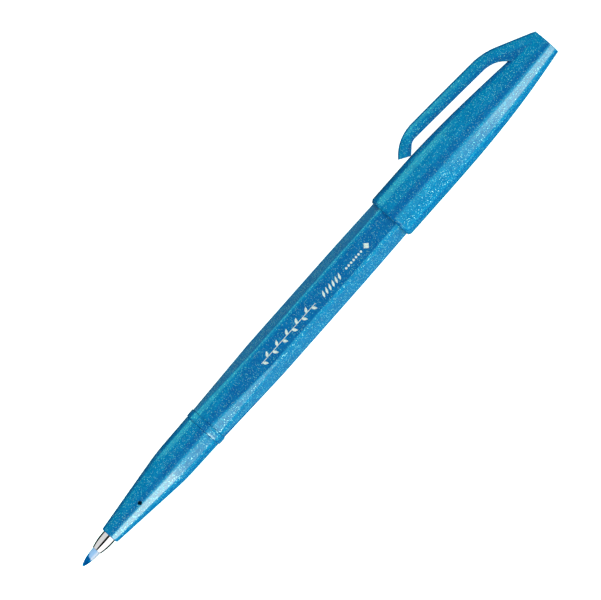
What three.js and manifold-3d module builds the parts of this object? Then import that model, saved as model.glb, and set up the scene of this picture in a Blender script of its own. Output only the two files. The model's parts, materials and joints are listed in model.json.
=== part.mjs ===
// A calligraphy marker lying on its side with the cap posted on its tail.
//
// The pen's own frame: X runs along the pen from the writing point, Y points to the clip's side
// of the cap and Z is square to both. Lengths are millimetres. The last lines roll the pen about X
// until the cap and the clip both touch the table, and put the origin under its middle.
import * as THREE from "three";
import { mergeVertices } from "three/addons/utils/BufferGeometryUtils.js";
import Module from "manifold-3d";

// ---- Driving dimensions ----
const UNCAPPED_LENGTH = 127.0;
const POSTED_LENGTH = 147.8;
const CAP_LENGTH = 50.0;
const FIT = 0.1; // radial or end gap between two pieces that touch

// Places along X
const CONE_FRONT = 4.3; // the nib stands out of the tip cone by this much
const SECTION_FRONT = 8.3;
const RING_FRONT = 38.3;
const RING_BACK = 40.0;
const STUB_BACK = 48.5; // the section plugs into the barrel as far as this
const BUSH_FRONT = 8.6;
const SHANK_BACK = 15.5; // the tip cone's straight shank ends here
const BUSH_BACK = 16.4;
const CHAMBER_FRONT = 19.0;
const SHOULDER_FRONT = 25.8; // the section's taper bends into its straight part over this length
const SHOULDER_BACK = 31.0;
const RESERVOIR_FRONT = 50.0;
const FEED_BACK = 62.0;
const PILOT_BACK = 62.6; // the hole in the reservoir that takes the feed rod
const RESERVOIR_BACK = 110.0;
const TAIL_STUB_FRONT = 111.2;
const BARREL_BACK = 115.0;
const CAP_MOUTH = POSTED_LENGTH - CAP_LENGTH;

// Radii
const NIB_RADIUS = 0.92;
const NIB_NECK = 0.65;
const CONE_MOUTH = 0.95;
const CONE_RADIUS = 1.58;
const CONE_WALL = 0.2;
const SECTION_TIP = 2.1;
const SECTION_SHOULDER = 4.28;
const SECTION_RADIUS = 4.41;
const RING_RADIUS = 4.6;
const CHAMBER_RADIUS = 2.6; // air chamber round the feed rod, inside the section
const BARREL_BORE = 3.52;
const FEED_RADIUS = 0.88;
const RESERVOIR_RADIUS = 3.15;
const WRAP_THICKNESS = 0.13;
const TAIL_RADIUS = 4.12;
const TAIL_END_RADIUS = 3.78;
const CAP_RADIUS = 5.5;
const CAP_END_RADIUS = 2.8;
const SEAL_RADIUS = 2.8;
const SEAL_BORE = 2.3;

// Hexagonal barrel
const HEX_APOTHEM = 4.42;
const HEX_CORNER = 1.2; // corner radius where the hexagon is fully formed
const HEX_FORMED = 58.0; // X where the round front has become a hexagon
const HEX_TAPER_START = 80.0;
const HEX_BACK_APOTHEM = 4.16;
const HEX_TURN = THREE.MathUtils.degToRad(4); // one flat looks along Z, turned this far to Y

// Cap and clip
const CAP_TAPER_START = 10; // from the mouth
const CAP_LEAN = 0.44; // the closed end's centre lies this far from the axis, away from the clip
const CAP_BORE = 4.92; // over the barrel
const BARREL_ROOM = 17.5; // from the mouth: the hollow is wide enough for the barrel up to here
const TAIL_ROOM_FRONT = 19.0; // from the mouth: from here on it fits the tail plug
const TAIL_BORE = 4.32;
const TAIL_BORE_END = 3.95;
const SEAL_SEAT = 31.1; // from the mouth: the step that the inner seal's flange rests on
const SEAL_POCKET_END = 44.4;
const CLIP_DEPTH = 3.07; // seen from the side
const CLIP_TOP = 10.02; // the clip's highest point above the axis
const CLIP_TIP_HALF_WIDTH = 1.7;
const CLIP_ARM_HALF_WIDTH = 2.1;
const CLIP_ROOT_HALF_WIDTH = 2.85;
const CLIP_EDGE = 0.5; // rounding of the clip's long edges
const CLIP_HINGE = 39.2; // from the mouth: the arm flexes here
const HINGE_GAP = 0.3;

const VENT_RADIUS = 0.47;
const VENT_X = 17.9;
const VENT_TURN = THREE.MathUtils.degToRad(4); // from Z, away from the clip

const ROUND = 48; // facets of a visible round piece
const INNER_ROUND = 32;

const wasm = await Module();
wasm.setup();

// ---- Materials ----
const plastic = (color) => new THREE.MeshStandardMaterial({ color, roughness: 0.3, metalness: 0.0 });
const pearlBlue = plastic(0x0b86c2);
const pearlBlueCap = plastic(0x078fcf);
const softWhite = new THREE.MeshStandardMaterial({ color: 0xe9eef0, roughness: 0.5, metalness: 0.0 });
const steel = new THREE.MeshStandardMaterial({ color: 0xd9dcde, roughness: 0.12, metalness: 1.0 });
const paleFibre = new THREE.MeshStandardMaterial({ color: 0xa9cdf0, roughness: 0.8, metalness: 0.0 });
const inkedFibre = new THREE.MeshStandardMaterial({ color: 0x1b62ab, roughness: 0.9, metalness: 0.0 });
const film = new THREE.MeshStandardMaterial({ color: 0xdfe6ea, roughness: 0.25, metalness: 0.0 });

// ---- Shape helpers ----

// Turns a closed outline of [x, radius] pairs round the X axis. The outer side runs towards +X.
function turned(outline, facets) {
  const points = outline.map(([x, radius]) => new THREE.Vector2(radius, x));
  return new THREE.LatheGeometry(points, facets).rotateZ(-Math.PI / 2);
}

// A tube's outline from its outer side, listed towards +X, and its bore, listed towards -X.
const tube = (outer, bore) => [...outer, ...bore, outer[0]];

// Joins rings of the same number of points into a closed skin with flat ends.
function loft(rings) {
  const count = rings[0].length;
  const positions = [];
  const triangle = (...corners) => corners.forEach((p) => positions.push(p.x, p.y, p.z));
  for (let i = 0; i < rings.length - 1; i++) {
    for (let j = 0; j < count; j++) {
      const k = (j + 1) % count;
      triangle(rings[i][j], rings[i][k], rings[i + 1][k]);
      triangle(rings[i][j], rings[i + 1][k], rings[i + 1][j]);
    }
  }
  const last = rings[rings.length - 1];
  for (let j = 1; j < count - 1; j++) {
    triangle(rings[0][0], rings[0][j + 1], rings[0][j]);
    triangle(last[0], last[j], last[j + 1]);
  }
  return new THREE.BufferGeometry().setAttribute("position", new THREE.Float32BufferAttribute(positions, 3));
}

function solid(geometry) {
  const bare = geometry.index ? geometry.toNonIndexed() : geometry.clone();
  bare.deleteAttribute("normal");
  bare.deleteAttribute("uv");
  const merged = mergeVertices(bare, 1e-4);
  return new wasm.Manifold(
    new wasm.Mesh({
      numProp: 3,
      vertProperties: merged.attributes.position.array,
      triVerts: new Uint32Array(merged.index.array),
    }),
  );
}

function geometryOf(manifold) {
  const { vertProperties, triVerts, numProp, numVert } = manifold.getMesh();
  const positions = new Float32Array(numVert * 3);
  for (let i = 0; i < numVert; i++) {
    positions.set(vertProperties.subarray(i * numProp, i * numProp + 3), i * 3);
  }
  return new THREE.BufferGeometry()
    .setAttribute("position", new THREE.BufferAttribute(positions, 3))
    .setIndex(new THREE.BufferAttribute(new Uint32Array(triVerts), 1));
}

// A box between two X places, big enough to cut the whole pen.
function slab(from, to) {
  const span = 60;
  return solid(new THREE.BoxGeometry(to - from, span, span).translate((from + to) / 2, 0, 0));
}

const pen = new THREE.Group();

function add(name, geometry, material) {
  const mesh = new THREE.Mesh(geometry, material);
  mesh.name = name;
  pen.add(mesh);
}

// ---- Nib, tip cone and feed ----

// The brush tip: an ogive with a short neck that has room to flex in the cone's mouth.
function nib() {
  const shoulder = CONE_FRONT - 0.35;
  const ogive = (share) => NIB_RADIUS * Math.sqrt(Math.sin((share * Math.PI) / 2));
  const front = [0, 0.02, 0.08, 0.18, 0.32, 0.5, 0.72, 1].map((share) => [shoulder * share, ogive(share)]);
  const back = CONE_FRONT + 1.4;
  const outline = [...front, [CONE_FRONT - 0.1, NIB_NECK], [back, NIB_NECK], [back, 0]];
  return turned(outline, INNER_ROUND);
}

// Polished metal cone with a straight shank that is pressed into the section.
function tipCone() {
  const outer = [
    [CONE_FRONT, CONE_MOUTH + 0.07],
    [CONE_FRONT + 0.2, CONE_MOUTH + 0.18],
    [CONE_FRONT + 0.7, CONE_MOUTH + 0.28],
    [SECTION_FRONT, CONE_RADIUS],
    [SHANK_BACK, CONE_RADIUS],
  ];
  const bore = [
    [SHANK_BACK, CONE_RADIUS - CONE_WALL],
    [SECTION_FRONT, CONE_RADIUS - CONE_WALL],
    [CONE_FRONT + 0.8, CONE_MOUTH + 0.06],
    [CONE_FRONT, CONE_MOUTH],
  ];
  return turned(tube(outer, bore), ROUND);
}

// Plastic sleeve that centres the feed rod in the cone; its head seats on the shank's end.
function nibBush() {
  const sleeve = CONE_RADIUS - CONE_WALL - FIT;
  const head = CONE_RADIUS + 0.06;
  const bore = FEED_RADIUS + FIT;
  const outer = [
    [BUSH_FRONT, sleeve - 0.1],
    [BUSH_FRONT + 0.2, sleeve],
    [SHANK_BACK + FIT, sleeve],
    [SHANK_BACK + FIT, head],
    [BUSH_BACK, head],
  ];
  return turned(tube(outer, [[BUSH_BACK, bore], [BUSH_FRONT, bore]]), INNER_ROUND);
}

// Fibre rod that carries the ink from the reservoir to the nib.
function feedRod() {
  const front = CONE_FRONT + 1.6;
  const point = 1.5;
  return turned(
    [
      [front, 0],
      [front, FEED_RADIUS - 0.1],
      [front + 0.1, FEED_RADIUS],
      [FEED_BACK - point, FEED_RADIUS],
      [FEED_BACK, 0.3],
      [FEED_BACK, 0],
    ],
    INNER_ROUND,
  );
}

// ---- Section, barrel, reservoir and tail ----

// The tapered part that the fingers hold, with the ring that the cap clicks over, a stub that
// plugs into the barrel and a breather hole into its air chamber.
function frontSection() {
  const bend = new THREE.QuadraticBezierCurve(
    new THREE.Vector2(SHOULDER_FRONT, SECTION_SHOULDER - 0.25),
    new THREE.Vector2(SHOULDER_FRONT + 2, SECTION_SHOULDER - 0.02),
    new THREE.Vector2(SHOULDER_BACK, SECTION_SHOULDER + 0.02),
  );
  const stub = BARREL_BORE - FIT;
  const lip = CONE_RADIUS + FIT;
  const outer = [
    [SECTION_FRONT, SECTION_TIP - 0.2],
    [SECTION_FRONT + 0.3, SECTION_TIP],
    ...bend.getPoints(5).map((p) => [p.x, p.y]),
    [RING_FRONT, SECTION_RADIUS],
    [RING_FRONT + 0.12, RING_RADIUS - 0.04],
    [RING_FRONT + 0.3, RING_RADIUS],
    [RING_BACK - 0.3, RING_RADIUS],
    [RING_BACK - 0.12, RING_RADIUS - 0.04],
    [RING_BACK, SECTION_RADIUS],
    [RING_BACK, stub],
    [STUB_BACK - 0.4, stub],
    [STUB_BACK, stub - 0.2],
  ];
  const bore = [
    [STUB_BACK, CHAMBER_RADIUS],
    [CHAMBER_FRONT, CHAMBER_RADIUS],
    [BUSH_BACK + 0.2, lip],
    [SECTION_FRONT, lip],
  ];
  const vent = new THREE.CylinderGeometry(VENT_RADIUS, VENT_RADIUS, 5, 16)
    .translate(0, 3.7, 0)
    .rotateX(Math.PI / 2 + VENT_TURN)
    .translate(VENT_X, 0, 0);
  return geometryOf(solid(turned(tube(outer, bore), ROUND)).subtract(solid(vent)));
}

// One section of the barrel: a hexagon with round corners, a circle when the corner radius is the apothem.
function hexRing(x, apothem, corner) {
  const steps = 6;
  const reach = (apothem - corner) / Math.cos(Math.PI / 6);
  const ring = [];
  for (let side = 0; side < 6; side++) {
    const middle = Math.PI / 2 - HEX_TURN + Math.PI / 6 + (side * Math.PI) / 3;
    for (let step = 0; step <= steps; step++) {
      const angle = middle + (step / steps - 0.5) * (Math.PI / 3);
      const y = reach * Math.cos(middle) + corner * Math.cos(angle);
      const z = reach * Math.sin(middle) + corner * Math.sin(angle);
      ring.push(new THREE.Vector3(x, y, z));
    }
  }
  return ring;
}

function hexApothem(x) {
  const share = Math.max(0, (x - HEX_TAPER_START) / (BARREL_BACK - HEX_TAPER_START));
  return HEX_APOTHEM - share * (HEX_APOTHEM - HEX_BACK_APOTHEM);
}

function hexCorner(x) {
  const front = RING_BACK + 0.5;
  const share = THREE.MathUtils.clamp((x - front) / (HEX_FORMED - front), 0.01, 1);
  return HEX_APOTHEM - (HEX_APOTHEM - HEX_CORNER) * Math.sin((share * Math.PI) / 2);
}

function barrel() {
  const front = RING_BACK + FIT;
  const stations = [front, 42, 44.5, 47, 50, 53, HEX_FORMED, HEX_TAPER_START, BARREL_BACK];
  const skin = loft(stations.map((x) => hexRing(x, hexApothem(x), hexCorner(x))));
  const bore = turned(
    [
      [front - 1, 0],
      [front - 1, BARREL_BORE],
      [BARREL_BACK + 1, BARREL_BORE],
      [BARREL_BACK + 1, 0],
    ],
    ROUND,
  );
  return geometryOf(solid(skin).subtract(solid(bore)));
}

// The ink store: a fibre bundle with a pilot hole for the feed rod, inside a thin film.
function reservoirCore() {
  const pilot = FEED_RADIUS + FIT;
  return turned(
    [
      [PILOT_BACK, 0],
      [PILOT_BACK, pilot],
      [RESERVOIR_FRONT, pilot],
      [RESERVOIR_FRONT, RESERVOIR_RADIUS],
      [RESERVOIR_BACK, RESERVOIR_RADIUS],
      [RESERVOIR_BACK, 0],
    ],
    INNER_ROUND,
  );
}

function reservoirWrap() {
  const inside = RESERVOIR_RADIUS + FIT;
  const outside = inside + WRAP_THICKNESS;
  const front = RESERVOIR_FRONT - 0.5;
  const back = RESERVOIR_BACK + 0.5;
  return turned(tube([[front, outside], [back, outside]], [[back, inside], [front, inside]]), INNER_ROUND);
}

// Closes the barrel. Its taper is what the posted cap grips.
function tailPlug() {
  const stub = BARREL_BORE - FIT;
  const shoulder = BARREL_BACK + FIT;
  const hollow = 2.5;
  const hollowEnd = UNCAPPED_LENGTH - 2.2;
  const dimple = 1.1;
  return turned(
    [
      [hollowEnd, 0],
      [hollowEnd - 1, hollow],
      [TAIL_STUB_FRONT, hollow],
      [TAIL_STUB_FRONT, stub - 0.2],
      [TAIL_STUB_FRONT + 0.4, stub],
      [shoulder, stub],
      [shoulder, TAIL_RADIUS - 0.15],
      [shoulder + 0.25, TAIL_RADIUS],
      [UNCAPPED_LENGTH - 0.7, TAIL_END_RADIUS + 0.02],
      [UNCAPPED_LENGTH - 0.2, TAIL_END_RADIUS - 0.18],
      [UNCAPPED_LENGTH, TAIL_END_RADIUS - 0.6],
      [UNCAPPED_LENGTH, dimple],
      [UNCAPPED_LENGTH - 0.4, dimple - 0.3],
      [UNCAPPED_LENGTH - 0.4, 0],
    ],
    ROUND,
  );
}

// ---- Cap ----

const capX = (fromMouth) => CAP_MOUTH + fromMouth;

function capRadius(fromMouth) {
  const share = Math.max(0, (fromMouth - CAP_TAPER_START) / (CAP_LENGTH - CAP_TAPER_START));
  return CAP_RADIUS - (CAP_RADIUS - CAP_END_RADIUS) * share * share;
}

const capCentre = (fromMouth) => -CAP_LEAN * THREE.MathUtils.clamp((fromMouth - 8) / 32, 0, 1);

function capRing(fromMouth, inset = 0) {
  const ring = [];
  for (let i = 0; i < ROUND; i++) {
    const angle = (i / ROUND) * 2 * Math.PI;
    const radius = capRadius(fromMouth) - inset;
    const y = capCentre(fromMouth) + radius * Math.cos(angle);
    ring.push(new THREE.Vector3(capX(fromMouth), y, radius * Math.sin(angle)));
  }
  return ring;
}

function capSkin() {
  const rings = [capRing(0, 0.3), capRing(0.12, 0.08), capRing(0.4)];
  for (let fromMouth = CAP_TAPER_START; fromMouth < CAP_LENGTH - 1; fromMouth += 4) {
    rings.push(capRing(fromMouth));
  }
  rings.push(capRing(CAP_LENGTH - 0.3), capRing(CAP_LENGTH, 0.25));
  return loft(rings);
}

// The hollow: wide over the barrel, narrower over the tail plug, then a pocket for the inner seal.
function capHollow() {
  return turned(
    [
      [capX(-1), 0],
      [capX(-1), CAP_BORE + 0.18],
      [capX(0), CAP_BORE + 0.18],
      [capX(0.5), CAP_BORE],
      [capX(BARREL_ROOM), CAP_BORE - 0.18],
      [capX(TAIL_ROOM_FRONT), TAIL_BORE],
      [capX(SEAL_SEAT), TAIL_BORE_END],
      [capX(SEAL_SEAT), SEAL_RADIUS + FIT],
      [capX(SEAL_POCKET_END), SEAL_RADIUS + FIT],
      [capX(SEAL_POCKET_END), 0],
    ],
    ROUND,
  );
}

// The clip seen from the side, root and all, in X from the mouth and height above the axis.
function clipOutline() {
  const outline = new THREE.Shape();
  outline.moveTo(CAP_LENGTH, 1.0);
  outline.lineTo(CAP_LENGTH, 3.3);
  outline.lineTo(41.9, 7.25);
  outline.quadraticCurveTo(39.4, 8.5, 36.6, 8.84);
  outline.lineTo(18.4, CLIP_TOP - 0.1);
  outline.quadraticCurveTo(13.6, CLIP_TOP + 0.1, 10.4, 6.95);
  outline.lineTo(12.75, 5.58);
  outline.quadraticCurveTo(14.0, 7.05, 15.8, 7.0);
  outline.lineTo(36.4, 8.86 - CLIP_DEPTH);
  outline.quadraticCurveTo(39.4, 5.5, 41.2, 3.3);
  outline.lineTo(42.4, 1.0);
  outline.closePath();
  return outline;
}

function clipHalfWidth(fromMouth) {
  const arm = THREE.MathUtils.clamp((fromMouth - 10) / 28, 0, 1);
  const root = THREE.MathUtils.clamp((fromMouth - 38) / 12, 0, 1);
  const flare = root * root * (3 - 2 * root);
  return (
    CLIP_TIP_HALF_WIDTH +
    arm * (CLIP_ARM_HALF_WIDTH - CLIP_TIP_HALF_WIDTH) +
    flare * (CLIP_ROOT_HALF_WIDTH - CLIP_ARM_HALF_WIDTH)
  );
}

// The clip's outline with rounded long edges, narrower towards its tip.
function clipSkin() {
  const geometry = new THREE.ExtrudeGeometry(clipOutline(), {
    curveSegments: 8,
    depth: 2 * (CLIP_ROOT_HALF_WIDTH - CLIP_EDGE),
    bevelThickness: CLIP_EDGE,
    bevelSize: CLIP_EDGE,
    bevelOffset: -CLIP_EDGE,
    bevelSegments: 3,
  }).translate(0, 0, CLIP_EDGE - CLIP_ROOT_HALF_WIDTH);
  const position = geometry.getAttribute("position");
  for (let i = 0; i < position.count; i++) {
    position.setZ(i, (position.getZ(i) * clipHalfWidth(position.getX(i))) / CLIP_ROOT_HALF_WIDTH);
  }
  return geometry.translate(CAP_MOUTH, 0, 0);
}

// Soft cup in the cap's end that closes round the section's tip and keeps the nib wet.
function innerSeal() {
  const flange = 3.75;
  const seat = capX(SEAL_SEAT - 0.2);
  const mouth = seat - 1.1;
  const end = capX(SEAL_POCKET_END - 0.2);
  const floor = end - 1.6;
  const outer = [
    [mouth, SEAL_BORE + 0.3],
    [mouth, flange],
    [seat, flange - 0.03],
    [seat, SEAL_RADIUS],
    [end - 0.6, SEAL_RADIUS],
    [end, SEAL_RADIUS - 0.5],
    [end, 0],
  ];
  const inside = [
    [floor, 0],
    [floor, SEAL_BORE - 0.4],
    [floor - 0.8, SEAL_BORE],
    [mouth + 0.6, SEAL_BORE],
  ];
  return turned([...inside, ...outer], ROUND);
}

add("nib", nib(), paleFibre);
add("tip_cone", tipCone(), steel);
add("nib_bush", nibBush(), softWhite);
add("feed_rod", feedRod(), inkedFibre);
add("front_section", frontSection(), pearlBlue);
add("barrel", barrel(), pearlBlue);
add("reservoir_core", reservoirCore(), inkedFibre);
add("reservoir_wrap", reservoirWrap(), film);
add("tail_plug", tailPlug(), pearlBlue);
add("cap_inner_seal", innerSeal(), softWhite);

// The arm is its own piece so that it can flex; the root is moulded with the cap.
const clip = solid(clipSkin());
const hinge = capX(CLIP_HINGE);
const arm = clip.intersect(slab(capX(0), hinge - HINGE_GAP / 2));
const root = clip.intersect(slab(hinge + HINGE_GAP / 2, capX(CAP_LENGTH)));
const shell = solid(capSkin()).add(root).subtract(solid(capHollow()));
add("cap_shell", geometryOf(shell), pearlBlueCap);
add("cap_clip", geometryOf(arm), pearlBlueCap);

// ---- Rest pose ----
// Rolled so that the clip's rounded edge and the cap's side touch one plane.
const edgeHeight = CLIP_TOP - CLIP_EDGE;
const edgeSide = clipHalfWidth(16) - CLIP_EDGE;
const roll =
  Math.asin((CAP_RADIUS - CLIP_EDGE) / Math.hypot(edgeHeight, edgeSide)) - Math.atan2(edgeSide, edgeHeight);
pen.rotation.x = -roll;
const marker = new THREE.Group();
marker.add(pen);
marker.updateMatrixWorld(true);
const box = new THREE.Box3().setFromObject(marker, true);
pen.position.set(-(box.min.x + box.max.x) / 2, -(box.min.y + box.max.y) / 2, -box.min.z);

export default marker;
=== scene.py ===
"""The looks of a calligraphy marker that lies on a table with its cap posted on its tail.

Pieces are shaped in the pen's own frame, in millimetres: x runs along the pen from the nib's point,
y points to the clip's side and z to the side that the camera looks at. PEN places them in the row
frame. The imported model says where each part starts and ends; the named values below give the detail.
"""

import json
import math

import bmesh
import bpy
from mathutils import Matrix, Vector


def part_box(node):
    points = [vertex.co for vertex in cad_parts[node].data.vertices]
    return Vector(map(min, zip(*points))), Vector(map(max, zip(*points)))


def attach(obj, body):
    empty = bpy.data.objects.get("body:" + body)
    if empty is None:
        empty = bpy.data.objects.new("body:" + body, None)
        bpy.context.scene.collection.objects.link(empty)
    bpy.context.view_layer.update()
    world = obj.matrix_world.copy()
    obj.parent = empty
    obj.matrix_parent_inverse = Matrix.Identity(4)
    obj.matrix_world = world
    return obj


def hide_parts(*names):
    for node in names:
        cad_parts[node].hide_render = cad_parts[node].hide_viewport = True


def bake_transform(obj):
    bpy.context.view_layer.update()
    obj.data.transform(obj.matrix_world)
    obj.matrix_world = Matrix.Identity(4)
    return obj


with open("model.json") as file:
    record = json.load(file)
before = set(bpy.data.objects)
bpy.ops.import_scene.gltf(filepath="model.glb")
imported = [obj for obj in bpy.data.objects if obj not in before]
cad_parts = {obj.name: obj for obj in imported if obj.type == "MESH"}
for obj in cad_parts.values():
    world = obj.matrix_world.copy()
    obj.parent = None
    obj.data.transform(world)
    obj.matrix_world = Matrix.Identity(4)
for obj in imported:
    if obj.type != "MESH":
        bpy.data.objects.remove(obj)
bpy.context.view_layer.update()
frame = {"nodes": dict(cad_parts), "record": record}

# ---- The pen's frame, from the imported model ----
MM = 0.001
JOINTS = {joint["name"]: joint for joint in frame["record"]["behaviour"]["joints"]}
ALONG = Vector(JOINTS["cap_turn"]["axis"]).normalized()
TO_VIEWER = Vector(JOINTS["nib_bend"]["axis"]).normalized()
TO_CLIP = TO_VIEWER.cross(ALONG)
AXIS_POINT = Vector(JOINTS["cap_turn"]["pos_m"])
POINT_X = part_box("nib")[0][0]
PEN = (
    Matrix.Translation((POINT_X, AXIS_POINT.y, AXIS_POINT.z))
    @ Matrix((ALONG, TO_CLIP, TO_VIEWER)).transposed().to_4x4()
    @ Matrix.Scale(MM, 4)
)


def front(node):
    """Where a CAD part starts, in the pen's millimetres."""
    return (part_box(node)[0][0] - POINT_X) / MM


def back(node):
    """Where a CAD part ends, in the pen's millimetres."""
    return (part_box(node)[1][0] - POINT_X) / MM


CONE_FRONT = front("tip_cone")
SECTION_FRONT = front("front_section")
SECTION_BACK = back("front_section")
BARREL_FRONT = front("barrel")
BARREL_BACK = back("barrel")
TAIL_FRONT = front("tail_plug")
TAIL_END = back("tail_plug")
CAP_MOUTH = front("cap_shell")
CAP_END = back("cap_shell")
CAP_LENGTH = CAP_END - CAP_MOUTH

# ---- Radii, places and detail, in millimetres ----
# In an outline, a corner is (x, radius) or (x, radius, how far off its rounding starts).
ROUND = 128  # steps round a large part

NIB_START = -0.18  # a little in front of the CAD's point
NIB_RADIUS = 0.97
NIB_FULLNESS = 0.55  # lower is blunter
NIB_NECK = 0.65
NIB_NECK_FRONT = CONE_FRONT + 0.5
NIB_STEPS = 40
NIB_CROWDING = 1.6  # how much closer the rings are at the point
INK_REACH = 2.12  # from the point to the ink's edge
INK_WANDER = 0.3
INK_FADE = 0.2
INK_SLANT = 0.7  # how fast the edge climbs towards the clip's side

CONE_MOUTH = 1.1
CONE_BORE = 0.99
CONE_RADIUS = 1.58
CONE_WALL = 0.2
CONE_LIP = 0.08
CONE_SWELL_X = CONE_FRONT + 1.9
CONE_SWELL_RADIUS = 1.66

NOSE = SECTION_FRONT + 0.1
SECTION_TIP = 2.1
SECTION_RADIUS = 4.41
SECTION_BORE = 1.68
GRIP_END = (26.0, 4.045)
GRIP_BEND = [(26.2, 4.06), (28.2, 4.27), (31.0, 4.3)]  # start, control and end of a curve
BORE_END = 16.6
CHAMBER_FRONT = 19.0
CHAMBER = 2.6
RING_FRONT = 38.2
RING_BACK = BARREL_FRONT - 0.05
RING_RADIUS = 4.6
STUB = 3.42  # the section's and the tail plug's radius inside the barrel
VENT_X = 17.9
VENT_RADIUS = 0.47
VENT_TURN = math.radians(4)
VENT_MIDDLE = 3.6  # the drill's middle, from the pen's axis
VENT_DEPTH = 4

BARREL_BORE = 3.52
BARREL_EDGE = 0.02
HEX_APOTHEM = 4.42
HEX_BACK_APOTHEM = 4.16
HEX_CORNER = 1.2
HEX_START = RING_BACK + 0.5  # the flats grow from here
HEX_FORMED = 58.0  # up to here
HEX_TAPER_START = 80.0
HEX_TURN = math.radians(4)
HEX_SIDE = math.pi / 3

PRINT_MIDDLE = -HEX_APOTHEM * math.tan(HEX_TURN)  # across the flat, where the pen's middle line is
PRINT_THICK = 0.015
PRINT_SUNK = 0.02

TAIL_RADIUS = 4.12
TAIL_END_RADIUS = 3.78
TAIL_SHOULDER = BARREL_BACK + 0.1
TAIL_HOLLOW = 2.5
TAIL_WALL = 2.2  # at the plug's closed end
TAIL_DIMPLE = 1.1

# Places on the cap are measured from its mouth.
CAP_RADIUS = 5.5
CAP_END_RADIUS = 2.8
CAP_TAPER_START = 10.0
CAP_LEAN = 0.44  # how far the cap's end lies off the pen's axis, away from the clip
CAP_LEAN_START = 8
CAP_LEAN_END = 40
CAP_BEVEL = 0.9
CAP_RIM = 0.14
SEAL_RADIUS = 2.8
SEAL_BORE = 2.3
SEAL_FRONT = 29.8
SEAL_FLANGE_BACK = 30.9
SEAL_FLANGE = 3.75
SEAL_FLOOR = 42.6
SEAL_END = 44.2
POCKET_FRONT = 31.1
POCKET_END = 44.4
POCKET_RADIUS = SEAL_RADIUS + 0.1
CAP_MOUTH_FACE = [(0.0, 0.5), (0.0, 0.38, 0.1), (0.62, 0.0, 0.03), (CAP_BEVEL, 0.0)]  # (place, inset)
CAP_HOLLOW = [
    (0, 5.15),
    (0, 5.02, 0.1),
    (0.5, 4.92, 0.1),
    (17.5, 4.74, 0.5),
    (19.0, 4.32, 0.5),
    (POCKET_FRONT, 3.95),
    (POCKET_FRONT, POCKET_RADIUS),
    (POCKET_END, POCKET_RADIUS),
]

# The clip's edges in the plane of its middle: joined curves, each (start, control, steps).
CLIP_OUTER = [
    ((10.4, 6.95), (13.4, 10.1), 22),
    ((18.0, 9.96), (27.5, 9.45), 24),
    ((36.6, 8.84), (39.4, 8.55), 16),
    ((42.2, 7.15), (46.1, 5.2), 16),
]
CLIP_OUTER_END = (49.97, 3.3)
CLIP_INNER = [
    ((12.85, 5.45), (13.7, 6.1), 10),
    ((14.5, 6.75), (15.15, 7.34), 12),
    ((16.3, 7.29), (26.4, 6.66), 24),
    ((36.6, 5.93), (39.8, 5.6), 16),
    ((41.5, 3.2), (43.5, 0.5), 16),
]
CLIP_INNER_END = (49.97, 0.5)
CLIP_TIP = 10
CLIP_SHOULDER = 38  # where the clip turns down to its root
CLIP_ROOT_END = 50
CLIP_HALF_WIDTH = 1.7
CLIP_WIDENING = 0.4
CLIP_NARROWING = 0.3
CLIP_SPLAY = 0.55  # how much wider the foot gets along the root
CLIP_EDGE = 0.03
CLIP_RIM = 0.12
CLIP_DOME = 2.3
CLIP_SLOPE = 1.2
CLIP_ROOM_FRONT = 30
CLIP_ROOM_RADIUS = 2.95

# ---- Pearl flakes: cells to the metre, and how far they lean ----
FINE_FLAKES = 5200
LARGE_FLAKES = 4200
FINE_LEAN = 0.05
LARGE_LEAN = 0.5


# ---- Shape helpers ----
def smooth(value, low, high):
    """0 below low, 1 above high, a smooth step between."""
    share = min(1.0, max(0.0, (value - low) / (high - low)))
    return share * share * (3 - 2 * share)


def rounded(corners):
    """An outline's points; a corner given as (x, y, setback) becomes an arc that starts that far off."""
    steps = 6
    points = []
    for i, corner in enumerate(corners):
        here = Vector(corner[:2])
        if len(corner) < 3 or i in (0, len(corners) - 1):
            points.append(here)
            continue
        before = (Vector(corners[i - 1][:2]) - here).normalized() * corner[2]
        after = (Vector(corners[i + 1][:2]) - here).normalized() * corner[2]
        for step in range(steps + 1):
            t = step / steps
            points.append(here + before * (1 - t) ** 2 + after * t**2)
    return points


def curve_points(start, control, end, steps):
    """Points of a quadratic curve, without the last one."""
    start, control, end = Vector(start), Vector(control), Vector(end)
    shares = [step / steps for step in range(steps)]
    return [start * (1 - t) ** 2 + control * 2 * t * (1 - t) + end * t * t for t in shares]


def joined(curves, end):
    """Points along curves that follow one another, each (start, control, steps), and their end."""
    points = []
    ends = [curve[0] for curve in curves[1:]] + [end]
    for (start, control, steps), curve_end in zip(curves, ends):
        points += curve_points(start, control, curve_end, steps)
    return points + [Vector(end)]


def circle(x, radius, segments=ROUND, middle=0.0):
    """Points round the pen's axis, or round a line beside it on the clip's side."""
    angles = [2 * math.pi * i / segments for i in range(segments)]
    return [Vector((x, middle + radius * math.cos(a), radius * math.sin(a))) for a in angles]


def bridge(mesh, rings, closed_ends=True):
    """Skins rings of equal length, each a list of vertices; a ring of one vertex is a pole."""
    for first, second in zip(rings, rings[1:]):
        count = max(len(first), len(second))
        for j in range(count):
            k = (j + 1) % count
            corners = [first[j % len(first)], first[k % len(first)]]
            corners += [second[k % len(second)], second[j % len(second)]]
            mesh.faces.new(list(dict.fromkeys(corners)))
    if closed_ends:
        for ring in (rings[0], rings[-1]):
            if len(ring) > 2:
                mesh.faces.new(ring)


def revolve(outline, segments=ROUND):
    """Turns (x, radius) points round the pen's axis. An outline that doesn't end on the axis is closed."""
    mesh = bmesh.new()
    rings = []
    for x, radius in outline:
        points = circle(x, radius, segments) if radius > 1e-6 else [Vector((x, 0, 0))]
        rings.append([mesh.verts.new(point) for point in points])
    if len(rings[0]) > 1 and len(rings[-1]) > 1:
        rings.append(rings[0])
    bridge(mesh, rings, closed_ends=False)
    return mesh


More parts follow.
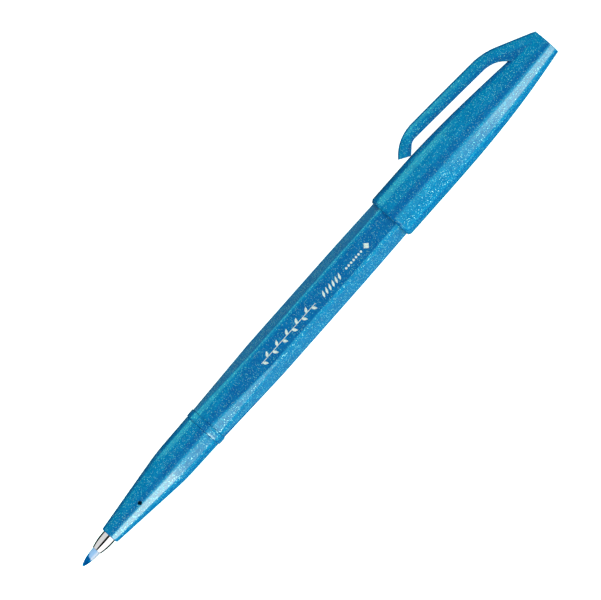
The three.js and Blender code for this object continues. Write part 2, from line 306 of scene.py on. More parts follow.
def loft(sections):
    """Skins a list of rings, each a list of points, and closes both ends."""
    mesh = bmesh.new()
    rings = [[mesh.verts.new(point) for point in section] for section in sections]
    bridge(mesh, rings)
    return mesh


def shape(name, mesh, material, sharp=32):
    """A Blender object in the row frame, from a mesh in the pen's millimetres."""
    bmesh.ops.remove_doubles(mesh, verts=mesh.verts, dist=1e-5)
    bmesh.ops.recalc_face_normals(mesh, faces=mesh.faces)
    data = bpy.data.meshes.new(name)
    mesh.to_mesh(data)
    mesh.free()
    data.transform(PEN)
    data.shade_smooth()
    data.set_sharp_from_angle(angle=math.radians(sharp))
    data.materials.append(material)
    thing = bpy.data.objects.new(name, data)
    bpy.context.scene.collection.objects.link(thing)
    return thing


def cut(thing, cutter, sharp=32):
    """Takes the cutter's volume out of a piece and removes the cutter."""
    modifier = thing.modifiers.new("cut", "BOOLEAN")
    modifier.operation = "DIFFERENCE"
    modifier.solver = "EXACT"
    modifier.object = cutter
    graph = bpy.context.evaluated_depsgraph_get()
    result = bpy.data.meshes.new_from_object(thing.evaluated_get(graph))
    thing.modifiers.clear()
    thing.data = result
    result.shade_smooth()
    result.set_sharp_from_angle(angle=math.radians(sharp))
    bpy.data.objects.remove(cutter)


def stands_for(thing, body, slot, *nodes):
    """The piece rides on a body and replaces CAD nodes; the slot argument is not used."""
    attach(thing, body)
    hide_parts(*nodes)
    return thing


# ---- Materials ----
class Nodes:
    """A material's node tree, with short calls for the nodes used here."""

    def __init__(self, name):
        self.material = bpy.data.materials.new(name)
        self.material.use_nodes = True
        self.tree = self.material.node_tree
        self.shader = self.tree.nodes["Principled BSDF"]
        self.place = self.add("ShaderNodeTexCoord").outputs["Object"]
        self.normal = self.add("ShaderNodeNewGeometry").outputs["Normal"]

    def add(self, kind, **settings):
        node = self.tree.nodes.new(kind)
        for key, value in settings.items():
            setattr(node, key, value)
        return node

    def link(self, source, target):
        """Joins a socket to a target, or sets the target to a plain value."""
        if hasattr(source, "links"):
            self.tree.links.new(source, target)
        else:
            target.default_value = source

    def noise(self, scale, detail=3.0, place=None):
        node = self.add("ShaderNodeTexNoise")
        self.link(place or self.place, node.inputs["Vector"])
        node.inputs["Scale"].default_value = scale
        node.inputs["Detail"].default_value = detail
        node.inputs["Roughness"].default_value = 0.55
        return node.outputs["Fac"]

    def cells(self, scale):
        """A cell pattern's (distance from the cell's middle, random colour)."""
        node = self.add("ShaderNodeTexVoronoi")
        self.link(self.place, node.inputs["Vector"])
        node.inputs["Scale"].default_value = scale
        return node.outputs["Distance"], node.outputs["Color"]

    def channel(self, colour, which):
        node = self.add("ShaderNodeSeparateColor")
        self.link(colour, node.inputs["Color"])
        return node.outputs[which]

    def maths(self, operation, first, second):
        node = self.add("ShaderNodeMath", operation=operation)
        self.link(first, node.inputs[0])
        self.link(second, node.inputs[1])
        return node.outputs[0]

    def vector(self, operation, first, second=(0, 0, 0), scale=1.0):
        node = self.add("ShaderNodeVectorMath", operation=operation)
        self.link(first, node.inputs[0])
        self.link(second, node.inputs[1])
        self.link(scale, node.inputs[3])
        return node.outputs[0]

    def distance_along(self, direction):
        """How far the surface lies from the origin, measured along a direction."""
        node = self.add("ShaderNodeVectorMath", operation="DOT_PRODUCT")
        self.link(self.place, node.inputs[0])
        self.link(direction, node.inputs[1])
        return node.outputs["Value"]

    def stretched(self, scale):
        """The object's coordinates, scaled by a different factor along each axis."""
        return self.vector("MULTIPLY", self.place, scale)

    def spread(self, value, low, high, to_low=0.0, to_high=1.0):
        """The value's range low..high stretched smoothly to another range."""
        node = self.add("ShaderNodeMapRange", interpolation_type="SMOOTHSTEP")
        self.link(value, node.inputs["Value"])
        node.inputs["From Min"].default_value = low
        node.inputs["From Max"].default_value = high
        node.inputs["To Min"].default_value = to_low
        node.inputs["To Max"].default_value = to_high
        return node.outputs["Result"]

    def mix(self, factor, first, second):
        node = self.add("ShaderNodeMix", data_type="RGBA")
        self.link(factor, node.inputs[0])
        self.link(first, node.inputs[6])
        self.link(second, node.inputs[7])
        return node.outputs[2]

    def leaning(self, normal, where, random, amount):
        """The normal, tipped over at random where there is a flake."""
        reach = self.maths("MULTIPLY", where, amount)
        aim = self.vector("SUBTRACT", random, (0.5, 0.5, 0.5))
        return self.vector("ADD", normal, self.vector("SCALE", aim, scale=reach))

    def bump(self, height, strength, distance, normal=None):
        node = self.add("ShaderNodeBump")
        if normal:
            self.link(normal, node.inputs["Normal"])
        node.inputs["Strength"].default_value = strength
        node.inputs["Distance"].default_value = distance
        self.link(height, node.inputs["Height"])
        self.link(node.outputs["Normal"], self.shader.inputs["Normal"])

    def set(self, **values):
        """Sets the shader's inputs; an underscore in a name stands for a space."""
        for key, value in values.items():
            self.link(value, self.shader.inputs[key.replace("_", " ")])


def pearl_plastic(name, colour, deep, share):
    """Glossy blue moulding plastic full of tiny pearl flakes that lie nearly flat; share is their cover."""
    nodes = Nodes(name)
    body = nodes.mix(nodes.spread(nodes.noise(420, detail=4), 0.35, 0.65), (*deep, 1), (*colour, 1))
    distance, random = nodes.cells(FINE_FLAKES)
    chance = nodes.spread(nodes.channel(random, "Red"), 1 - share, 1.1 - share)
    fine = nodes.maths("MULTIPLY", chance, nodes.spread(distance, 0.35, 0.6, 1.0, 0.0))
    wide_distance, wide_random = nodes.cells(LARGE_FLAKES)
    rare = nodes.spread(nodes.channel(wide_random, "Green"), 0.45, 0.97)
    large = nodes.maths("MULTIPLY", rare, nodes.spread(wide_distance, 0.20, 0.38, 1.0, 0.0))
    pearl = nodes.mix(nodes.channel(random, "Blue"), (0.0, 0.14, 0.40, 1), (0.02, 0.34, 0.60, 1))
    flecked = nodes.mix(large, nodes.mix(fine, body, pearl), (0.55, 0.84, 0.92, 1))
    fine_metal = nodes.maths("MULTIPLY", fine, 0.2)
    large_metal = nodes.maths("MULTIPLY", large, 0.55)
    nodes.set(
        Base_Color=flecked,
        Metallic=nodes.maths("MAXIMUM", fine_metal, large_metal),
        Roughness=nodes.spread(nodes.noise(900), 0.3, 0.7, 0.11, 0.14),
        Specular_IOR_Level=0.5,
        Coat_Weight=0.6,
        Coat_Roughness=0.08,
    )
    tilted = nodes.leaning(nodes.normal, fine, random, FINE_LEAN)
    tilted = nodes.leaning(tilted, large, wide_random, LARGE_LEAN)
    tilted = nodes.vector("NORMALIZE", tilted)
    nodes.bump(nodes.noise(2600, detail=2), 0.2, 0.00002, tilted)
    return nodes.material


def plated_steel():
    """Thin drawn steel with bright plating and faint draw lines round it."""
    nodes = Nodes("plated_steel")
    lines = nodes.noise(1.0, detail=2, place=nodes.stretched((9000, 250, 250)))
    nodes.set(
        Base_Color=nodes.mix(lines, (0.88, 0.88, 0.88, 1), (0.95, 0.95, 0.95, 1)),
        Metallic=1.0,
        Roughness=nodes.spread(lines, 0.3, 0.7, 0.04, 0.07),
    )
    nodes.bump(lines, 0.1, 0.000003)
    return nodes.material


def nib_dryness(nodes):
    """0 where ink soaks the nib, at its point, and 1 behind that. The ink climbs on the clip's side."""
    split = nodes.add("ShaderNodeSeparateXYZ")
    nodes.link(nodes.place, split.inputs["Vector"])
    from_point = nodes.maths("SUBTRACT", split.outputs["X"], POINT_X)
    wander = nodes.spread(nodes.noise(1100), 0.3, 0.7, -INK_WANDER * MM, INK_WANDER * MM)
    across = nodes.maths("SUBTRACT", nodes.distance_along(TO_CLIP), AXIS_POINT.dot(TO_CLIP))
    slant = nodes.maths("MULTIPLY", across, INK_SLANT)
    reach = nodes.maths("SUBTRACT", nodes.maths("ADD", from_point, wander), slant)
    return nodes.spread(reach, (INK_REACH - INK_FADE) * MM, (INK_REACH + INK_FADE) * MM)


def nib_fibre():
    """Porous nib: matt and dark with ink at its point, pale blue and smoother up to the cone."""
    nodes = Nodes("nib_fibre")
    dry = nib_dryness(nodes)
    strands = nodes.noise(1.0, detail=3, place=nodes.stretched((700, 9000, 9000)))
    pale = nodes.mix(strands, (0.27, 0.51, 0.80, 1), (0.36, 0.62, 0.92, 1))
    pool = nodes.spread(nodes.noise(900, detail=1), 0.42, 0.58)
    ink = nodes.mix(pool, (0.0, 0.09, 0.31, 1), (0.0, 0.25, 0.58, 1))
    nodes.set(
        Base_Color=nodes.mix(dry, ink, pale),
        Roughness=nodes.spread(dry, 0.0, 1.0, 0.75, 0.4),
        Specular_IOR_Level=0.0,
        Coat_Weight=nodes.spread(dry, 0.0, 1.0, 0.0, 0.8),
        Coat_Roughness=0.25,
    )
    nodes.bump(strands, 0.3, 0.00001)
    return nodes.material


def printed_ink():
    """Silver-white pad-printed ink, a little uneven."""
    nodes = Nodes("printed_ink")
    grain = nodes.noise(5000, detail=2)
    cover = nodes.spread(grain, 0.3, 0.6)
    nodes.set(
        Base_Color=nodes.mix(cover, (0.68, 0.49, 0.51, 1), (1.0, 0.73, 0.76, 1)),
        Metallic=0.1,
        Roughness=nodes.spread(grain, 0.3, 0.7, 0.35, 0.6),
    )
    nodes.bump(grain, 0.2, 0.000004)
    return nodes.material


def soft_white():
    """Milky polyethylene, slightly translucent and waxy."""
    nodes = Nodes("soft_white")
    cloud = nodes.noise(700)
    nodes.set(
        Base_Color=nodes.mix(cloud, (0.74, 0.77, 0.79, 1), (0.83, 0.85, 0.86, 1)),
        Roughness=nodes.spread(cloud, 0.3, 0.7, 0.42, 0.55),
        Subsurface_Weight=0.15,
        Subsurface_Scale=0.001,
    )
    nodes.bump(nodes.noise(3500), 0.2, 0.00001)
    return nodes.material


def soaked_fibre():
    """Lengthwise fibres soaked with blue ink."""
    nodes = Nodes("soaked_fibre")
    strands = nodes.noise(1.0, detail=4, place=nodes.stretched((200, 5000, 5000)))
    nodes.set(
        Base_Color=nodes.mix(strands, (0.01, 0.08, 0.30, 1), (0.04, 0.24, 0.55, 1)),
        Roughness=nodes.spread(strands, 0.3, 0.7, 0.7, 0.95),
    )
    nodes.bump(strands, 0.6, 0.00004)
    return nodes.material


def wrap_film():
    """Thin film with faint lengthwise creases, blue from the ink behind it."""
    nodes = Nodes("wrap_film")
    creases = nodes.noise(1.0, detail=3, place=nodes.stretched((60, 1800, 1800)))
    nodes.set(
        Base_Color=nodes.mix(creases, (0.30, 0.45, 0.62, 1), (0.62, 0.72, 0.80, 1)),
        Roughness=nodes.spread(creases, 0.3, 0.7, 0.12, 0.3),
        Coat_Weight=0.5,
    )
    nodes.bump(creases, 0.4, 0.00002)
    return nodes.material


BARREL_PLASTIC = pearl_plastic("pearl_blue", (0.0, 0.145, 0.43), (0.0, 0.11, 0.37), 0.35)
CAP_PLASTIC = pearl_plastic("pearl_blue_cap", (0.0, 0.15, 0.44), (0.0, 0.115, 0.38), 0.40)
STEEL = plated_steel()
NIB = nib_fibre()
PRINT = printed_ink()
WHITE = soft_white()
FIBRE = soaked_fibre()
FILM = wrap_film()


# ---- Pieces ----
def make_nib():
    """The brush tip: a slim ogive that fills the cone's mouth, then the neck that runs back inside."""
    reach = CONE_FRONT - NIB_START
    outline = [(NIB_START, 0)]
    for i in range(1, NIB_STEPS + 1):
        share = (i / NIB_STEPS) ** NIB_CROWDING
        radius = NIB_RADIUS * math.sin(share * math.pi / 2) ** NIB_FULLNESS
        outline.append((NIB_START + reach * share, radius))
    end = back("nib")
    outline += [(NIB_NECK_FRONT + (end - NIB_NECK_FRONT) * i / 12, NIB_NECK) for i in range(12)]
    outline += [(end, NIB_NECK), (end, 0)]
    nib = shape("brush_nib", revolve(outline, 64), NIB, sharp=60)
    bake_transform(nib)
    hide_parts("nib")
    return nib


def make_cone():
    """The plated cone with its rounded front lip, its swell and its shank."""
    shank_end = back("tip_cone")
    swell_end = (SECTION_FRONT + 0.2, CONE_RADIUS)
    swell = curve_points((CONE_FRONT, CONE_MOUTH), (CONE_SWELL_X, CONE_SWELL_RADIUS), swell_end, 24)
    outline = rounded(
        [
            (CONE_FRONT, CONE_BORE),
            (CONE_FRONT, CONE_MOUTH, CONE_LIP),
            *[tuple(point) for point in swell[2:]],
            (shank_end, CONE_RADIUS, 0.05),
            (shank_end, CONE_RADIUS - CONE_WALL, 0.05),
            (SECTION_FRONT, CONE_RADIUS - CONE_WALL, 0.3),
            (CONE_FRONT + 0.8, CONE_BORE + 0.05, 0.3),
            (CONE_FRONT, CONE_BORE),
        ]
    )
    cone = shape("plated_cone", revolve(outline[:-1], 96), STEEL)
    return stands_for(cone, "body", "plated_tip", "tip_cone")


def make_section():
    """The grip, with a rounded nose, the snap ring, the stub and the breather hole."""
    outline = rounded(
        [
            (NOSE, SECTION_BORE),
            (NOSE, SECTION_TIP, 0.3),
            GRIP_END,
            *[tuple(point) for point in curve_points(*GRIP_BEND, 10)[1:]],
            (RING_FRONT - 0.1, SECTION_RADIUS, 0.04),
            (RING_FRONT - 0.02, SECTION_RADIUS - 0.14, 0.03),
            (RING_FRONT + 0.03, RING_RADIUS - 0.05, 0.03),
            (RING_FRONT + 0.42, RING_RADIUS, 0.12),
            (RING_BACK, RING_RADIUS, 0.03),
            (RING_BACK, STUB, 0.05),
            (SECTION_BACK, STUB, 0.25),
            (SECTION_BACK, CHAMBER, 0.2),
            (CHAMBER_FRONT, CHAMBER, 0.6),
            (BORE_END, SECTION_BORE, 0.6),
            (NOSE, SECTION_BORE),
        ]
    )
    section = shape("grip_section", revolve(outline[:-1]), BARREL_PLASTIC)
    drill = bmesh.new()
    bmesh.ops.create_cone(
        drill,
        cap_ends=True,
        segments=40,
        radius1=VENT_RADIUS,
        radius2=VENT_RADIUS,
        depth=VENT_DEPTH,
        matrix=Matrix.Rotation(VENT_TURN, 4, "X") @ Matrix.Translation((VENT_X, 0, VENT_MIDDLE)),
    )
    cut(section, shape("drill", drill, BARREL_PLASTIC))
    stands_for(section, "body", "pearl_blue", "front_section")


def hex_section(x, apothem, corner, inset=0.0):
    """A hexagon with round corners. Its upper flat looks to the viewer, turned a little to the clip."""
    steps, flat_steps = 10, 4
    reach = (apothem - corner) / math.cos(HEX_SIDE / 2)
    radius = corner - inset
    middles = [math.pi / 2 - HEX_TURN + HEX_SIDE / 2 + side * HEX_SIDE for side in range(6)]

    def on_corner(middle, angle):
        y = reach * math.cos(middle) + radius * math.cos(angle)
        z = reach * math.sin(middle) + radius * math.sin(angle)
        return Vector((x, y, z))

    ring = []
    for side, middle in enumerate(middles):
        ring += [on_corner(middle, middle + (step / steps - 0.5) * HEX_SIDE) for step in range(steps + 1)]
        following = middles[(side + 1) % 6]
        last, goal = ring[-1], on_corner(following, following - HEX_SIDE / 2)
        ring += [last.lerp(goal, step / flat_steps) for step in range(1, flat_steps)]
    return ring


def hex_apothem(x):
    """From the pen's axis to a flat: the barrel slims a little towards its back."""
    return HEX_APOTHEM - smooth(x, HEX_TAPER_START, BARREL_BACK) * (HEX_APOTHEM - HEX_BACK_APOTHEM)


def hex_corner(x):
    """The corners' radius: the whole barrel is round at the ring, and six-sided further back."""
    share = min(1.0, max(0.002, (x - HEX_START) / (HEX_FORMED - HEX_START)))
    return HEX_APOTHEM - (HEX_APOTHEM - HEX_CORNER) * share


def make_barrel():
    """Round where it meets the ring, then six flats with soft corners; a plain bore inside."""
    edge, pitch = BARREL_EDGE, 0.35
    stations = [BARREL_FRONT + edge, BARREL_FRONT + 2 * edge]
    stations += [BARREL_FRONT + edge + pitch * i for i in range(1, 52)]
    stations += [HEX_FORMED + (BARREL_BACK - HEX_FORMED) * i / 30 for i in range(1, 30)]
    start, start_corner = hex_apothem(0), hex_corner(0)
    end = hex_apothem(BARREL_BACK)
    sections = [
        hex_section(BARREL_FRONT, start, start_corner, edge),
        hex_section(BARREL_FRONT + edge * 0.3, start, start_corner, edge * 0.3),
    ]
    for x in stations:
        apothem = hex_apothem(x)
        sections.append(hex_section(x, apothem, min(hex_corner(x), apothem - 0.01)))
    sections += [
        hex_section(BARREL_BACK - 2 * edge, end, HEX_CORNER),
        hex_section(BARREL_BACK - edge, end, HEX_CORNER),
        hex_section(BARREL_BACK, end, HEX_CORNER, edge),
    ]
    for x in (BARREL_BACK, BARREL_FRONT):
        angles = [math.atan2(point.z, point.y) for point in sections[-1]]
        sections.append([Vector((x, BARREL_BORE * math.cos(a), BARREL_BORE * math.sin(a))) for a in angles])
    mesh = bmesh.new()
    rings = [[mesh.verts.new(point) for point in section] for section in sections]
    bridge(mesh, rings + [rings[0]], closed_ends=False)
    barrel = shape("faceted_barrel", mesh, BARREL_PLASTIC, sharp=40)
    return stands_for(barrel, "body", "pearl_blue", "barrel")


def on_flat(x, across, height):
    """A point over the flat that the print is on: across it to the clip's side, and proud of it."""
    out = hex_apothem(x) + height
    y = out * math.sin(HEX_TURN) + across * math.cos(HEX_TURN)
    z = out * math.cos(HEX_TURN) - across * math.sin(HEX_TURN)
    return Vector((x, y, z))


def plate(mesh, outline):
    """A thin raised plate of ink; the outline is (x, across) points."""
    low = [mesh.verts.new(on_flat(x, PRINT_MIDDLE + across, -PRINT_SUNK)) for x, across in outline]
    high = [mesh.verts.new(on_flat(x, PRINT_MIDDLE + across, PRINT_THICK)) for x, across in outline]
    bridge(mesh, [low, high])


def dab(mesh, x, across, angle, length, width):
    """A leaf-shaped dab of ink that starts at a place and points at an angle."""
    steps = 10
    there = [(1, i / steps) for i in range(steps + 1)]
    back_again = [(-1, 1 - i / steps) for i in range(1, steps)]
    outline = []
    for side, share in there + back_again:
        half = side * width / 2 * math.sin(math.pi * share**0.8)
        along = length * share
        leaf_x = x + along * math.cos(angle) - half * math.sin(angle)
        leaf_across = across + along * math.sin(angle) + half * math.cos(angle)
        outline.append((leaf_x, leaf_across))
    plate(mesh, outline)


def add_sprig(mesh):
    """A thin stem with leaves on either side in turn."""
    start, end, half_stem = 56.9, 74.0, 0.07
    leaves, angle, length, width = 11, math.radians(52), 1.35, 0.62
    plate(mesh, [(start, -half_stem), (end, -half_stem), (end, half_stem), (start, half_stem)])
    for i in range(leaves):
        side = 1 if i % 2 else -1
        x = start + 0.3 + (end - start - 1.6) * i / (leaves - 1)
        dab(mesh, x, 0.0, side * angle, length, width)


def add_slanted_dabs(mesh):
    """A row of dabs that lean the same way."""
    start, pitch, across = 76.2, 1.0, -0.72
    angle, length, width = math.radians(62), 1.6, 0.5
    for i in range(6):
        dab(mesh, start + i * pitch, across, angle, length, width)


def add_dots(mesh):
    """A row of round dots."""
    start, pitch, radius = 83.8, 0.78, 0.26
    angles = [i * math.pi / 8 for i in range(16)]
    for i in range(7):
        x = start + i * pitch
        plate(mesh, [(x + radius * math.cos(a), radius * math.sin(a)) for a in angles])


def add_lozenge(mesh):
    """A small square that stands on its corner."""
    x, half = 90.15, 0.75
    plate(mesh, [(x - half, 0), (x, -half), (x + half, 0), (x, half)])


def make_print():
    """Plain ornament: a leafy sprig, then slanted dabs, then dots and a lozenge."""
    mesh = bmesh.new()
    add_sprig(mesh)
    add_slanted_dabs(mesh)
    add_dots(mesh)
    add_lozenge(mesh)
    marks = shape("barrel_ornament", mesh, PRINT, sharp=30)
    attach(marks, "body")


def make_tail():
    """The plug whose taper the posted cap grips."""
    dimple_floor = TAIL_END - 0.4
    outline = rounded(
        [
            (TAIL_END - TAIL_WALL, 0),
            (TAIL_END - TAIL_WALL, TAIL_HOLLOW, 0.8),
            (TAIL_FRONT, TAIL_HOLLOW, 0.1),
            (TAIL_FRONT, STUB, 0.25),
            (TAIL_SHOULDER, STUB, 0.03),
            (TAIL_SHOULDER, TAIL_RADIUS, 0.15),
            (TAIL_END, TAIL_END_RADIUS, 0.7),
            (TAIL_END, TAIL_DIMPLE, 0.15),
            (dimple_floor, TAIL_DIMPLE - 0.3, 0.15),
            (dimple_floor, 0),
        ]
    )
    tail = shape("tail_end_plug", revolve(outline), BARREL_PLASTIC)
    stands_for(tail, "body", "pearl_blue", "tail_plug")


def cap_section(from_mouth, inset=0.0):
    """A ring of the cap's outside: it tapers to its end and leans away from the clip."""
    share = max(0.0, (from_mouth - CAP_TAPER_START) / (CAP_LENGTH - CAP_TAPER_START))
    radius = CAP_RADIUS - (CAP_RADIUS - CAP_END_RADIUS) * share * share - inset
    middle = -CAP_LEAN * smooth(from_mouth, CAP_LEAN_START, CAP_LEAN_END)
    return circle(CAP_MOUTH + from_mouth, radius, middle=middle)


def make_cap():
    """The cap's shell: bevelled mouth, leaning taper, flat end, and its stepped hollow."""
    straight = CAP_LENGTH - CAP_RIM - CAP_BEVEL
    turns = [math.radians(90 * i / 6) for i in range(1, 7)]
    hollow = reversed(rounded(CAP_HOLLOW))
    sections = [circle(CAP_MOUTH + from_mouth, radius) for from_mouth, radius in hollow]
    sections += [cap_section(from_mouth, inset) for from_mouth, inset in rounded(CAP_MOUTH_FACE)]
    sections += [cap_section(CAP_BEVEL + straight * i / 90) for i in range(1, 91)]
    for turn in turns:
        from_mouth = CAP_LENGTH - CAP_RIM * (1 - math.sin(turn))
        sections.append(cap_section(from_mouth, CAP_RIM * (1 - math.cos(turn))))
    cap = shape("pen_cap", loft(sections), CAP_PLASTIC)
    stands_for(cap, "cap", "pearl_blue_cap", "cap_shell")


def clip_half_width(x):
    """Half the clip's width: it widens up to its shoulder and narrows again to the cap's end."""
    widening = CLIP_WIDENING * smooth(x, CLIP_TIP, CLIP_SHOULDER)
    return CLIP_HALF_WIDTH + widening - CLIP_NARROWING * smooth(x, CLIP_SHOULDER, CLIP_ROOT_END)


def clip_profile(depth, width, foot):
    """Half of a section as (height, across): a flat foot, a side that splays to it, and a domed top."""
    quarter = [math.pi / 2 * i / 4 for i in range(5)]
    side = [(CLIP_EDGE * (1 - math.cos(a)), foot - CLIP_EDGE * (1 - math.sin(a))) for a in quarter]
    rise = depth - CLIP_DOME - CLIP_EDGE
    side += [(CLIP_EDGE + rise * i / 4, foot + (width - foot) * i / 4) for i in range(1, 4)]
    for i in range(15):
        angle = math.pi / 2 * i / 14
        height = depth - CLIP_DOME * (1 - math.sin(angle) ** CLIP_SLOPE)
        side.append((height, width * math.cos(angle) ** CLIP_SLOPE))
    return side


def clip_section(outer, inner, inset=0.0, push=Vector((0, 0))):
    """A ring across the clip, between a point on its outer edge and one on its inner edge."""
    depth = (outer - inner).length
    middle = (outer + inner) / 2
    outwards = (outer - inner).normalized()
    width = clip_half_width(middle.x)
    foot = width + CLIP_SPLAY * smooth(middle.x, CLIP_SHOULDER, CLIP_ROOT_END)
    side = clip_profile(depth, width, foot)
    keep = 1 - 2 * inset / depth
    ring = []
    for height, across in side + [(h, -z) for h, z in reversed(side[:-1])]:
        place = middle + push + outwards * (height - depth / 2) * keep
        ring.append(Vector((CAP_MOUTH + place.x, place.y, across * keep)))
    return ring


def clip_sections():
    """Rings from the clip's hooked tip to the cap's end, with rounded rims at both."""
    pairs = list(zip(joined(CLIP_OUTER, CLIP_OUTER_END), joined(CLIP_INNER, CLIP_INNER_END)))
    turns = [math.radians(90 * i / 4) for i in range(5)]
    inward = ((pairs[1][0] + pairs[1][1]) - (pairs[0][0] + pairs[0][1])).normalized()
    sections = []
    for turn in turns:
        push = inward * CLIP_EDGE * (1 - math.cos(turn))
        sections.append(clip_section(*pairs[0], CLIP_EDGE * (1 - math.sin(turn)), push))
    sections += [clip_section(*pair) for pair in pairs[2:-2]]
    for turn in turns:
        push = Vector((CLIP_RIM * (math.sin(turn) - 1), 0))
        sections.append(clip_section(*pairs[-1], CLIP_RIM * (1 - math.cos(turn)), push))
    return sections


def make_clip():
    """The clip, whose root runs out on the cap's flat end and leaves room for the seal."""
    clip = shape("pocket_clip", loft(clip_sections()), CAP_PLASTIC, sharp=40)
    start, end = CAP_MOUTH + CLIP_ROOM_FRONT, CAP_MOUTH + POCKET_END
    room = [(start, 0), (start, CLIP_ROOM_RADIUS), (end, CLIP_ROOM_RADIUS), (end, 0)]
    cut(clip, shape("pocket_space", revolve(room), CAP_PLASTIC), sharp=40)
    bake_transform(clip)
    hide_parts("cap_clip")


def make_seal():
    """The soft cup inside the cap's end."""
    outline = rounded(
        [
            (CAP_MOUTH + SEAL_FLOOR, 0),
            (CAP_MOUTH + SEAL_FLOOR, SEAL_BORE, 0.6),
            (CAP_MOUTH + SEAL_FRONT, SEAL_BORE, 0.4),
            (CAP_MOUTH + SEAL_FRONT, SEAL_FLANGE, 0.2),
            (CAP_MOUTH + SEAL_FLANGE_BACK, SEAL_FLANGE - 0.03, 0.2),
            (CAP_MOUTH + SEAL_FLANGE_BACK, SEAL_RADIUS, 0.1),
            (CAP_MOUTH + SEAL_END, SEAL_RADIUS, 0.5),
            (CAP_MOUTH + SEAL_END, 0),
        ]
    )
    seal = shape("sealing_cup", revolve(outline, 96), WHITE)
    stands_for(seal, "seal", "white_plastic", "cap_inner_seal")


def dress(node, material):
    """Gives a carried-over CAD part its material."""
    part = frame["nodes"][node]
    if not part.material_slots:
        part.data.materials.append(material)
    for slot in part.material_slots:
        slot.link = "OBJECT"
        slot.material = material


brush_nib = make_nib()
plated_cone = make_cone()
make_section()
faceted_barrel = make_barrel()
make_print()
make_tail()
make_cap()
make_clip()
make_seal()
dress("nib_bush", WHITE)
dress("feed_rod", FIBRE)
dress("reservoir_core", FIBRE)
dress("reservoir_wrap", FILM)


# ---- Floor, light and camera ----
def make_floor():
    """A plain white table top, bright enough to look like an even backdrop."""
    half = 4.0
    data = bpy.data.meshes.new("floor")
    corners = [(-half, -half, 0), (half, -half, 0), (half, half, 0), (-half, half, 0)]
    data.from_pydata(corners, [], [(0, 1, 2, 3)])
    floor = bpy.data.objects.new("floor", data)
    bpy.context.scene.collection.objects.link(floor)
    nodes = Nodes("white_table")
    nodes.set(
        Base_Color=(0.9, 0.9, 0.9, 1),
        Roughness=0.9,
        Emission_Color=(1, 1, 1, 1),
        Emission_Strength=1.0,
    )
    data.materials.append(nodes.material)
    floor.visible_glossy = False
    floor.visible_diffuse = False
    floor.visible_shadow = False
    floor.visible_transmission = False


LAMP_DISTANCE = 0.6  # metres
PEN_MIDDLE = PEN @ Vector((CAP_END / 2, 0, 0))


def towards(side_angle, end_angle):
    """A direction from the pen: turned from the viewer to the clip's side, and towards the cap's end."""
    side, end = math.radians(side_angle), math.radians(end_angle)
    round_pen = TO_VIEWER * math.cos(side) + TO_CLIP * math.sin(side)
    return round_pen * math.cos(end) + ALONG * math.sin(end)


def softbox(name, side_angle, end_angle, side_width, end_width, radiance, tint=(1, 1, 1), reach="gloss"):
    """A rectangular soft light that only shiny or only diffuse reflections show.

    Its two angles say where it hangs, its two widths how many degrees it fills as the pen sees it.
    """
    light = bpy.data.lights.new(name, "AREA")
    light.shape = "RECTANGLE"
    light.size = 2 * LAMP_DISTANCE * math.tan(math.radians(side_width) / 2)
    light.size_y = 2 * LAMP_DISTANCE * math.tan(math.radians(end_width) / 2)
    light.energy = radiance * math.pi * light.size * light.size_y
    light.color = tint
    lamp = bpy.data.objects.new(name, light)
    bpy.context.scene.collection.objects.link(lamp)
    out = towards(side_angle, end_angle)
    side = ALONG.cross(out).normalized()
    turn = Matrix((side, out.cross(side), out)).transposed().to_4x4()
    lamp.matrix_world = Matrix.Translation(PEN_MIDDLE + out * LAMP_DISTANCE) @ turn
    lamp.visible_camera = False
    lamp.visible_diffuse = reach == "diffuse"
    lamp.visible_glossy = reach == "gloss"
    return lamp


def shine_only(lamps, pieces, state):
    """Limits lamps to the pieces (INCLUDE), or keeps them off the pieces (EXCLUDE)."""
    group = bpy.data.collections.new(lamps[0].name + "_pieces")
    for piece in pieces:
        group.objects.link(piece)
    for entry in group.collection_objects:
        entry.light_linking.link_state = state
    for lamp in lamps:
        lamp.light_linking.receiver_collection = group


def plastic_lights():
    """The long highlight on the far side, the teal one on the clip's side, and the plastic's shading."""
    return [
        softbox("key_wide", -62, 0, 90, 100, 1.6, (0.04, 1.0, 0.92)),
        softbox("key_edge", -30, 0, 36, 100, 0.75, (0.2, 1.0, 0.85)),
        softbox("front_fill", 15, 0, 90, 110, 0.85, (0.9, 0.95, 1.0), reach="diffuse"),
        softbox("far_fill", -110, 0, 100, 110, 2.45, (0.35, 1.0, 0.92), reach="diffuse"),
        softbox("back_fill", -164, 0, 44, 110, 1.2, (0.5, 1.0, 1.0), reach="diffuse"),
        softbox("clip_fill", 42, 0, 90, 110, 0.7, (0.0, 1.0, 0.6), reach="diffuse"),
        softbox("clip_side", 65, 0, 90, 110, 0.8, (0.0, 1.0, 0.9)),
        softbox("teal_streak", 86, 0, 36, 20, 1.4, (0.2, 1.0, 0.6)),
    ]


def end_strips(end, sign, strips):
    """Panels one behind the other past an end of the pen; only its tapering surface reflects them."""
    far_edge = 42
    warm = (0.94, 0.93, 0.58)
    lamps = []
    for i, (start, radiance) in enumerate(strips):
        end_angle = sign * (start + far_edge) / 2
        side_width = 60 - 6 * i
        lamps.append(softbox(f"key_{end}_{i}", -57, end_angle, side_width, far_edge - start, radiance, warm))
    return lamps


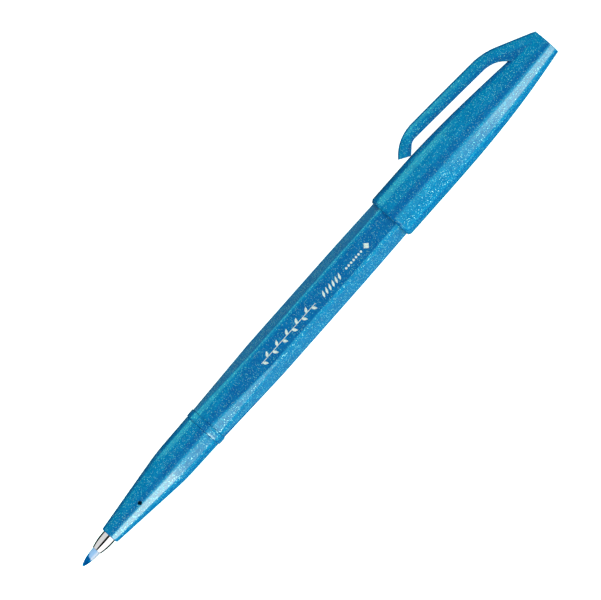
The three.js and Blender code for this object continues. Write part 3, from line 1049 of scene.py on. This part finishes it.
def make_light(nib, cone, barrel):
    """Softboxes for the plastic, and others that only the cone, the nib or the barrel gets."""
    general = plastic_lights()
    general += end_strips("nib", -1, [(2.5, 1.5), (8, 1.5), (13, 3.7)])
    general += end_strips("cap", 1, [(7, 0.75), (10, 0.8), (13, 2.5)])
    panels = [
        softbox("steel_white", -58, 0, 90, 110, 1.3),
        softbox("steel_grey", 60, 0, 82, 110, 0.72),
    ]
    nib_lights = [
        softbox("nib_key", -70, -24, 78, 80, 11.5, (1.0, 0.7, 0.4)),
        softbox("nib_fill", 8, 0, 140, 110, 1.05, (0.95, 1.0, 1.05), reach="diffuse"),
    ]
    edge_sheen = softbox("edge_sheen", 128, 0, 36, 100, 0.18, (0.4, 1.0, 1.0))
    barrel_rim = softbox("barrel_rim", -119, 0, 24, 100, 0.75, (0.25, 1.0, 0.7))
    far_rim = softbox("far_rim", -135, 0, 50, 100, 0.25, (0.0, 1.0, 0.9))
    shine_only([edge_sheen, barrel_rim], [barrel], "INCLUDE")
    shine_only([far_rim], [barrel, cone, nib], "EXCLUDE")
    shine_only(general, [cone, nib], "EXCLUDE")
    shine_only(panels, [cone], "INCLUDE")
    shine_only(nib_lights, [nib], "INCLUDE")


def make_world():
    """Even white light for diffuse surfaces, almost none of it in reflections."""
    world = bpy.data.worlds.new("studio")
    world.use_nodes = True
    bpy.context.scene.world = world
    tree = world.node_tree
    background = tree.nodes["Background"]
    path = tree.nodes.new("ShaderNodeLightPath")
    level = tree.nodes.new("ShaderNodeMapRange")
    level.inputs["To Min"].default_value = 0.2
    level.inputs["To Max"].default_value = 0.01
    tree.links.new(path.outputs["Is Glossy Ray"], level.inputs["Value"])
    tree.links.new(level.outputs["Result"], background.inputs["Strength"])
    background.inputs["Color"].default_value = (1, 1, 1, 1)


def make_camera():
    """Square to the clip's side face, from far off, with the pen lying from lower left to upper right."""
    distance = 2.0
    view_width = 126.9 * MM
    pen_angle = math.radians(48.5)
    aim = PEN @ Vector((72.4, 2.78, 0))
    data = bpy.data.cameras.new("camera")
    data.sensor_width = 36
    data.lens = data.sensor_width * distance / view_width
    data.clip_start, data.clip_end = 0.1, 20
    camera = bpy.data.objects.new("camera", data)
    bpy.context.scene.collection.objects.link(camera)
    right = ALONG * math.cos(pen_angle) - TO_CLIP * math.sin(pen_angle)
    up = TO_VIEWER.cross(right)
    turn = Matrix((right, up, TO_VIEWER)).transposed().to_4x4()
    camera.matrix_world = Matrix.Translation(aim + TO_VIEWER * distance) @ turn
    bpy.context.scene.camera = camera


make_floor()
make_light(brush_nib, plated_cone, faceted_barrel)
make_world()
make_camera()
bpy.context.scene.view_settings.view_transform = "Standard"

bpy.context.view_layer.update()
